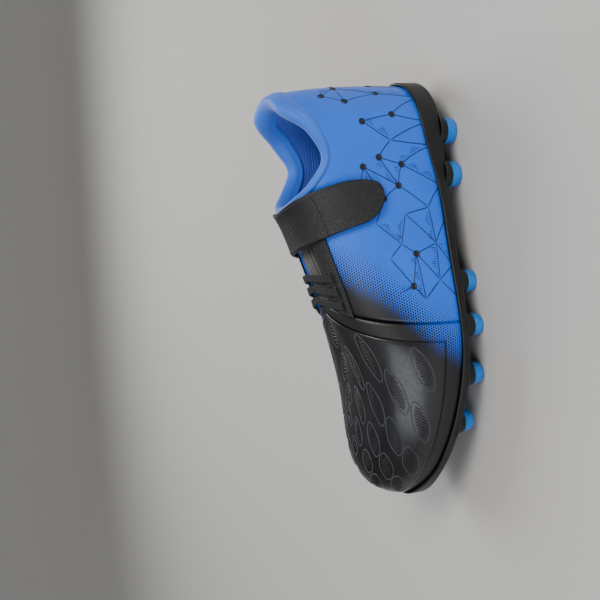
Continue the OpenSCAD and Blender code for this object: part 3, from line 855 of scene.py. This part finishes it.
def woven_elastic(material, place):
    # Flat woven elastic: black, ribbed across every 1 mm, matt
    flow = add_node(material, "ShaderNodeTexCoord", {}, "UV")
    picks = add_node(material, "ShaderNodeTexWave", {"Scale": 0.314 / 1.0, "Vector": flow}, "Fac",
                     bands_direction="Y")
    tone = add_node(material, "ShaderNodeMix", {"Factor": picks, "A": srgb("060708"), "B": srgb("202226")},
                    "Result", data_type="RGBA")
    bump = add_node(material, "ShaderNodeBump", {"Height": picks, "Distance": 0.25 * MM})
    return {"Base Color": tone, "Roughness": 0.75, "Normal": bump}


panel_knit = finish_material(stretch_knit)
synthetic = finish_material(grained_synthetic)
thread = finish_material(bonded_thread)
elastic = finish_material(woven_elastic)

slant = np.linspace(0.4, -0.4, 90)[:, None]
share = np.linspace(0, 1, 70)[None, :]
back = throat + 5 - 12 * np.abs(slant)
angles = back + (front_seam + 4 - back) * share
girths = np.tile(1 - slant, (1, 70))
channels = 0.25 * np.abs(np.sin(math.pi * slant * 100 / 6.0)) - 0.2
panel = layer("instep_stretch_panel", angles, girths, 1.0, 3.4, panel_knit, roll=1.0,
              figure=np.tile(channels, (1, 70)), fresh=True)
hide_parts("instep_panel")
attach(panel, "shoe")


def stitching(name, paths, base, body, pitch=1.9):
    """Rows of raised stitches along paths of (angle, girth) points."""
    dashes = []
    for path in paths:
        stops = evenly(path, pitch, base)
        for start, end in zip(stops[:-1], stops[1:]):
            dashes.append(np.linspace(start, start + (end - start) * 0.74, 5))
    points, faces = raised(dashes, 0.55, 0.28, base - 0.04, blunt=0.45)
    rows_sewn = join_mesh(name, points, faces, thread)
    if body:
        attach(rows_sewn, body)
    return rows_sewn


stay_low, stay_high = wall + 0.2, wall + 1.2
lace_angles = (89.0, 93.6, 98.2)
for side, name in ((1, "lateral_eyestay"), (-1, "medial_eyestay")):
    stay_girths = 1 - side * np.linspace(0.21, 0.35, 24)[:, None]
    stay_angles = np.linspace(66, front_seam + 1, 70)
    stay = layer(name + "_strip", np.tile(stay_angles, (24, 1)), np.tile(stay_girths, (1, 70)),
                 stay_low, stay_high, synthetic, roll=0.7, fresh=True)
    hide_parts(name)
    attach(stay, "shoe")
    run = np.linspace(67.5, front_seam - 0.5, 30)
    stitching(name + "_seams", [np.column_stack([run, np.full(30, 1 - side * v)])
                                for v in (0.235, 0.325)], stay_high, "shoe")

bars, loops = [], []
for number, middle in enumerate(lace_angles):
    slant = np.linspace(0.305, -0.305, 90)[:, None]
    across = np.linspace(-1.5, 1.5, 14)[None, :]
    cord_ribs = 0.1 * np.sin(slant * 100 * 2 * math.pi / 1.6)
    bar = layer(f"elastic_lace_{number + 1}", middle + across - 6 * np.abs(slant),
                np.tile(1 - slant, (1, 14)), stay_high + 0.2, stay_high + 1.4, elastic, roll=0.6,
                figure=np.tile(cord_ribs, (1, 14)), fresh=True)
    bars.append(bar)
    for v in (0.285, -0.285):
        turn = np.linspace(0, 2 * math.pi, 33)
        loops.append(np.column_stack([middle - 6 * abs(v) + 2.0 * np.cos(turn),
                                      1 - v + 0.013 * np.sin(turn)]))
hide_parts("elastic_lace")
for bar in bars:
    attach(bar, "shoe")
points, faces = raised(loops, 1.0, 0.7, stay_high - 0.05, blunt=1.0)
tabs = join_mesh("lace_slot_rims", points, faces, synthetic)
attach(tabs, "shoe")


# --- Padded collar --------------------------------------------------------------------------------
# Foam rolled in a smooth lighter blue fabric, 13 mm deep at the heel and 4 mm at the throat. It is
# sewn to the quarters outside and to the knit lining inside.
def brushed_microfibre(material, place):
    # Soft-coated microfibre over foam: smooth, mid blue, faint nap that lightens at its edge
    tone = mottle(material, place, "1b62d2", "2a70e2", 8.0, detail=4.0)
    bump = emboss(material, place, 0.45, 0.05, strength=0.6)
    return {"Base Color": tone, "Roughness": 0.6, "Sheen Weight": 0.2, "Normal": bump}


collar_cloth = finish_material(brushed_microfibre)
around_rim = 360
lap = 2 * (np.arange(around_rim) + 0.5) / around_rim - 1
rim_angle = throat * lap
rim_girth = collar_girth(rim_angle)
rim_mid = boot(rim_angle, rim_girth, wall / 2)
rim_normal = outward(rim_angle, rim_girth, wall / 2)
rim_ahead = np.roll(rim_mid, -1, 0) - np.roll(rim_mid, 1, 0)
rim_ahead /= np.linalg.norm(rim_ahead, axis=1, keepdims=True)
rim_down = np.cross(rim_normal, rim_ahead)
rim_down *= np.sign((rim_down * (rim_mid - [0, 55, 120])).sum(1))[:, None]
step_angle = (boot(rim_angle + 0.5, rim_girth, wall) - boot(rim_angle - 0.5, rim_girth, wall))
step_girth = (boot(rim_angle, rim_girth + 0.005, wall) - boot(rim_angle, rim_girth - 0.005, wall)) / 0.01
walk = np.array([np.linalg.lstsq(np.column_stack([a, g]), d, rcond=None)[0]
                 for a, g, d in zip(step_angle, step_girth, rim_down)])
band_depth = np.interp(np.abs(rim_angle), [0, 18, 34, 48, throat], [6.8, 6.4, 3.4, 2.0, 2.0])
section = []
for u in np.concatenate([[0, 0.03, 0.07, 0.12], np.linspace(0.2, 1, 12)]):
    there = walk * (band_depth * (1 - u))[:, None]
    angle, girth = rim_angle + there[:, 0], rim_girth + there[:, 1]
    swell = -0.4 + 0.9 * math.sqrt(min(1, u / 0.12)) + 0.5 * math.sin(math.pi * u)
    section.append(boot(angle, girth, wall + padding(angle, girth) + swell))
roll_start = section[-1]
roll_end = boot(rim_angle, rim_girth, -0.4)
roll_half = (roll_start - roll_end) / 2
roll_up = -rim_down * np.linalg.norm(roll_half, axis=1, keepdims=True) * 0.85
for turn in np.radians(np.linspace(0, 180, 16)[1:-1]):
    section.append(roll_end + roll_half * (1 + math.cos(turn)) + roll_up * math.sin(turn))
for u in np.linspace(1, 0, 10):
    there = walk * ((2.5 + 0.4 * band_depth) * (1 - u))[:, None]
    angle, girth = rim_angle + there[:, 0], rim_girth + there[:, 1]
    section.append(boot(angle, girth, -0.4 - 0.5 * math.sin(math.pi * u) + 0.9 * (1 - u) ** 4))
collar = join_mesh("padded_collar", np.concatenate(section),
                   grid_faces(len(section), around_rim, ring=True)
                   + [(j, (j + 1) % around_rim, (len(section) - 1) * around_rim + (j + 1) % around_rim,
                       (len(section) - 1) * around_rim + j) for j in range(around_rim)], collar_cloth)
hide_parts("collar_binding", "collar_foam")
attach(collar, "shoe")


# --- Instep strap ---------------------------------------------------------------------------------
# A black grained strap sewn down on the inner side. It crosses the instep and closes with
# hook-and-loop on the outer side; its free end is rounded and stitched all round.
loop_low, loop_high = wall + 0.2, wall + 1.0
hook_low, hook_high = loop_high + 0.4, loop_high + 1.2
strap_low, strap_high = hook_high + 0.1, hook_high + 1.5
strap_tip, strap_fold, anchor_fold, anchor_tip = 0.78, 0.42, -0.42, -0.62


def strap_spot(v, t):
    """Ring angle and girth of a strap point: v along it from the ridge, t across it."""
    v, t = np.broadcast_arrays(np.asarray(v, float), t)
    blunt = 1 - np.sqrt(np.maximum(0.03, 1 - (np.maximum(0, v - 0.62) / 0.16) ** 2))
    middle = throat + 9.5 - 11.5 * np.maximum(0, v) - 3 * blunt
    half = (17 - 5.5 * np.maximum(0, v)) / 2 * (1 - blunt)
    return middle + (2 * t - 1) * half, 1 - v


def strap_layer(name, v0, v1, t0, t1, low, high, material, rows, cols, roll, figure=0.0):
    angles, girths = strap_spot(np.linspace(v0, v1, rows)[:, None], np.linspace(t0, t1, cols)[None, :])
    return layer(name, angles, girths, low, high, material, roll=roll, figure=figure, fresh=True)


def fold_point(v):
    angle, girth = strap_spot(np.array([v]), np.array([0.5]))
    return tuple(boot(angle, girth, strap_high)[0] * MM)


def strap_path(v_values, inset_mm, far=False):
    """Path along the strap, inset from its rear or front edge."""
    v = np.asarray(v_values, float)
    low, _ = strap_spot(v, 0.0)
    high, _ = strap_spot(v, 1.0)
    share = inset_mm / 1.53 / np.maximum(high - low, 3)
    angle, girth = strap_spot(v, 1 - share if far else share)
    return np.column_stack([angle, girth])


sewn_tip = 0.755
along = np.linspace(0.40, sewn_tip, 60)
tab = strap_layer("strap_tab_cover", 0.395, strap_tip, 0, 1, strap_low, strap_high + 0.3, synthetic,
                  90, 60, 0.8)
tab_seam = stitching("strap_tab_stitches", [np.concatenate([
    strap_path(along, 1.9), strap_path(along, 1.9, far=True)[::-1]])], strap_high + 0.3, None)
band = strap_layer("strap_cover", 0.412, anchor_tip, 0, 1, strap_low, strap_high + 0.1, synthetic,
                   150, 60, 0.8)
along = np.linspace(0.39, -0.60, 120)
band_seam = stitching("strap_stitches", [
    strap_path(along, 1.9), strap_path(along, 1.9, far=True),
    np.column_stack(strap_spot(np.full(20, -0.60), np.linspace(0.08, 0.92, 20))),
    np.column_stack(strap_spot(np.full(20, -0.47), np.linspace(0.08, 0.92, 20)))],
    strap_high + 0.1, None)
anchor_pack = strap_layer("strap_anchor_layers", anchor_fold - 0.03, anchor_tip, 0.02, 0.98, loop_low,
                          strap_low, synthetic, 30, 50, 0.5)
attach(anchor_pack, "shoe")
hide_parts("strap", "strap_anchor")
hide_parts("strap_tab")
for piece in (band, band_seam):
    fold_point(anchor_fold - 0.03)
    fold_point(anchor_fold + 0.03)
    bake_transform(piece)
for piece in (tab, tab_seam):
    fold_point(strap_fold - 0.015)
    fold_point(strap_fold + 0.035)
    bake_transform(piece)


def hook_tape(material, place):
    # Extruded nylon hook tape: black, rows of hooks 1.2 mm apart, a hard plastic sparkle
    tone = mottle(material, place, "0b0b0d", "2a2b30", 0.35, detail=2.0)
    bump = emboss(material, place, 0.4, 0.2, detail=2.0)
    return {"Base Color": tone, "Roughness": 0.55, "Normal": bump}


def loop_tape(material, place):
    # Brushed nylon loop tape: black, a tangled pile with soft sheen
    tone = mottle(material, place, "0d0d10", "303138", 0.6, detail=6.0)
    bump = emboss(material, place, 0.5, 0.3, detail=6.0)
    return {"Base Color": tone, "Roughness": 0.95, "Sheen Weight": 0.6, "Normal": bump}


hook_finish = finish_material(hook_tape)
hooks = strap_layer("hook_tape_pad", 0.45, 0.70, 0.1, 0.9, hook_low + 0.25, strap_low + 0.05, hook_finish,
                    30, 50, 0.3)
hook_rows = []
for v in np.arange(0.46, 0.695, 0.011):
    for t in np.arange(0.13, 0.88, 0.045):
        angle, girth = strap_spot(np.array([v, v + 0.004]), np.array([t, t]))
        hook_rows.append(np.column_stack([angle, girth]))
points, faces = raised(hook_rows, 0.45, -0.5, hook_low + 0.3, blunt=1.0)
hook_pins = join_mesh("hook_tape_hooks", points, faces, hook_finish)
loops_pad = strap_layer("loop_tape_pad", 0.42, 0.72, 0.05, 0.95, loop_low, loop_high,
                        finish_material(loop_tape), 40, 50, 0.5)
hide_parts("hook_pad")
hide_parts("loop_pad")
for piece, body in ((hooks, "strap_end"), (hook_pins, "strap_end"), (loops_pad, "shoe")):
    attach(piece, body)


# --- Studio ---------------------------------------------------------------------------------------
# A grey matt floor with soft box light, and a camera that looks at the outer side of the boot
# from a little above, with the heel at the top of the picture.
def seamless_paper(material, place):
    # Seamless paper: matt, mid grey, with the faint mottle of its fibres
    tone = mottle(material, place, "b8b7b4", "c0bfbd", 0.6, detail=4.0)
    return {"Base Color": tone, "Roughness": 0.9}


flat_reach, sweep_round, wall_top, turns_round = 1.7, 1.0, 3.2, 96
profile = [(0.001, 0.0), (flat_reach * 0.5, 0.0), (flat_reach, 0.0)]
profile += [(flat_reach + sweep_round * math.sin(t), sweep_round * (1 - math.cos(t)))
            for t in np.radians(np.linspace(5, 90, 18))] + [(flat_reach + sweep_round, wall_top)]
spins = np.arange(turns_round) * 2 * math.pi / turns_round
floor_mesh = bpy.data.meshes.new("floor")
floor_mesh.from_pydata([(r * math.cos(t), r * math.sin(t), z) for r, z in profile for t in spins], [],
                       grid_faces(len(profile), turns_round, ring=True))
floor_mesh.shade_smooth()
floor = bpy.data.objects.new("floor", floor_mesh)
floor_mesh.materials.append(finish_material(seamless_paper))
bpy.context.collection.objects.link(floor)

world = bpy.data.worlds.new("studio_air")
bpy.context.scene.world = world
world.use_nodes = True
world.node_tree.nodes["Background"].inputs["Color"].default_value = srgb("e6e7ea")
world.node_tree.nodes["Background"].inputs["Strength"].default_value = 0.55


def soft_box(name, place, aim, size, power, tint):
    """A square area lamp at place, turned to aim."""
    lamp = bpy.data.lights.new(name, "AREA")
    lamp.shape = "SQUARE"
    lamp.size = size
    lamp.energy = power
    lamp.color = srgb(tint)[:3]
    holder = bpy.data.objects.new(name, lamp)
    holder.location = place
    holder.rotation_euler = (Vector(aim) - Vector(place)).to_track_quat("-Z", "Y").to_euler()
    bpy.context.collection.objects.link(holder)


boot_middle = Vector([(a + b) / 2 for a, b in zip(*cad_box)])
soft_box("key_light", (0.75, 0.55, 0.95), boot_middle, 0.6, 14.0, "fffaf2")
soft_box("fill_light", (0.9, -0.7, 0.5), boot_middle, 0.8, 7.0, "f2f6ff")
soft_box("rim_light", (-0.8, 0.3, 0.8), boot_middle, 0.6, 8.0, "ffffff")

view_rise, view_turn, view_roll = math.radians(20), math.radians(2.0), math.radians(4.9)
view_distance = 0.44
to_camera = Vector((math.cos(view_rise) * math.cos(view_turn),
                    math.cos(view_rise) * math.sin(view_turn), math.sin(view_rise)))
heel_way = (Vector((0, 1, 0)) - to_camera * to_camera.y).normalized()
sole_way = heel_way.cross(to_camera)
view_up = heel_way * math.cos(view_roll) + sole_way * math.sin(view_roll)
view_right = sole_way * math.cos(view_roll) - heel_way * math.sin(view_roll)
view_centre = Vector((0, 0, 0.045)) - view_right * 0.0336 - view_up * 0.0025
lens = bpy.data.cameras.new("camera")
lens.lens = 52.2
lens.clip_start = 0.01
camera = bpy.data.objects.new("camera", lens)
camera.matrix_world = Matrix.Translation(view_centre + to_camera * view_distance) @ Matrix(
    (view_right, view_up, to_camera)).transposed().to_4x4()
bpy.context.collection.objects.link(camera)
bpy.context.scene.camera = camera
